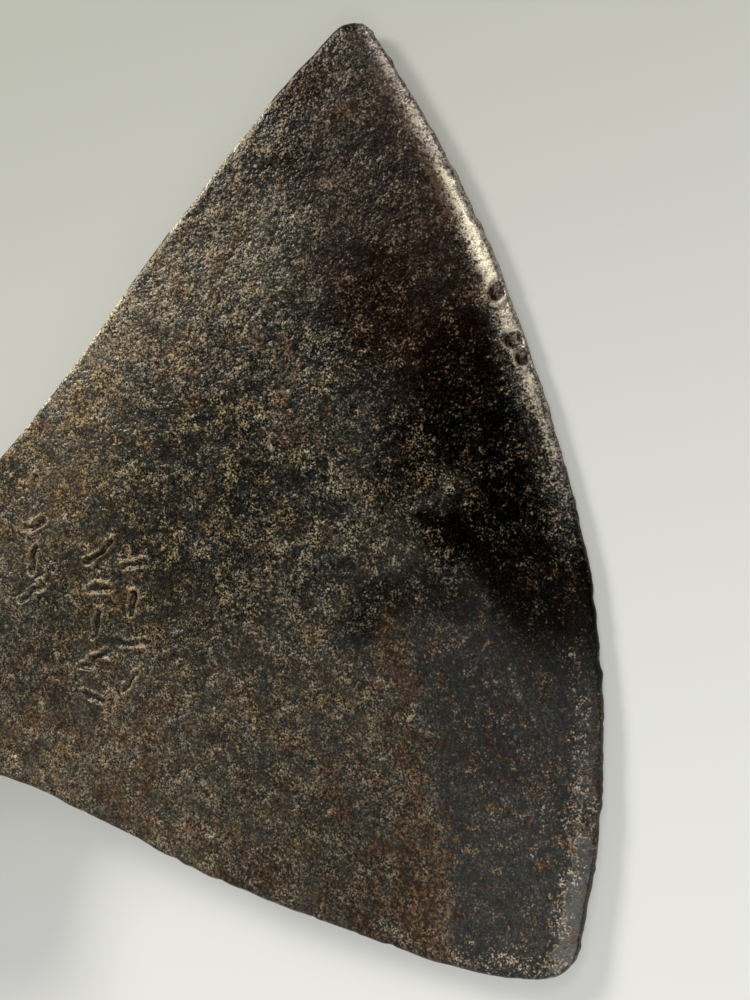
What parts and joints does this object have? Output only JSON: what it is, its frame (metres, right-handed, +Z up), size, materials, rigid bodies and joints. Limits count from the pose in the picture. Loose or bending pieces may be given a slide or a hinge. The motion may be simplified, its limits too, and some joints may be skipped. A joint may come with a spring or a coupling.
{
  "type": "axe head",
  "caption": "Antique broad axe head of forged iron: fan-shaped blade with a bowed, blunted edge, narrow neck and an oval haft eye, lying on its side.",
  "frame": {"origin": "centre of the bounding box's underside, on the surface the head lies on", "axes": "+X from the poll to the cutting edge, +Y along the haft from the heel to the toe, +Z up from the side it lies on"},
  "size_m": [0.2528, 0.2126, 0.0474],
  "materials": {
    "brown_patina_iron": "dark brown and blue-grey corroded iron with tan speckles, worn bright at the toe end of the bevel"
  },
  "bodies": {
    "root": {"axe_head": "brown_patina_iron"}
  },
  "joints": []
}
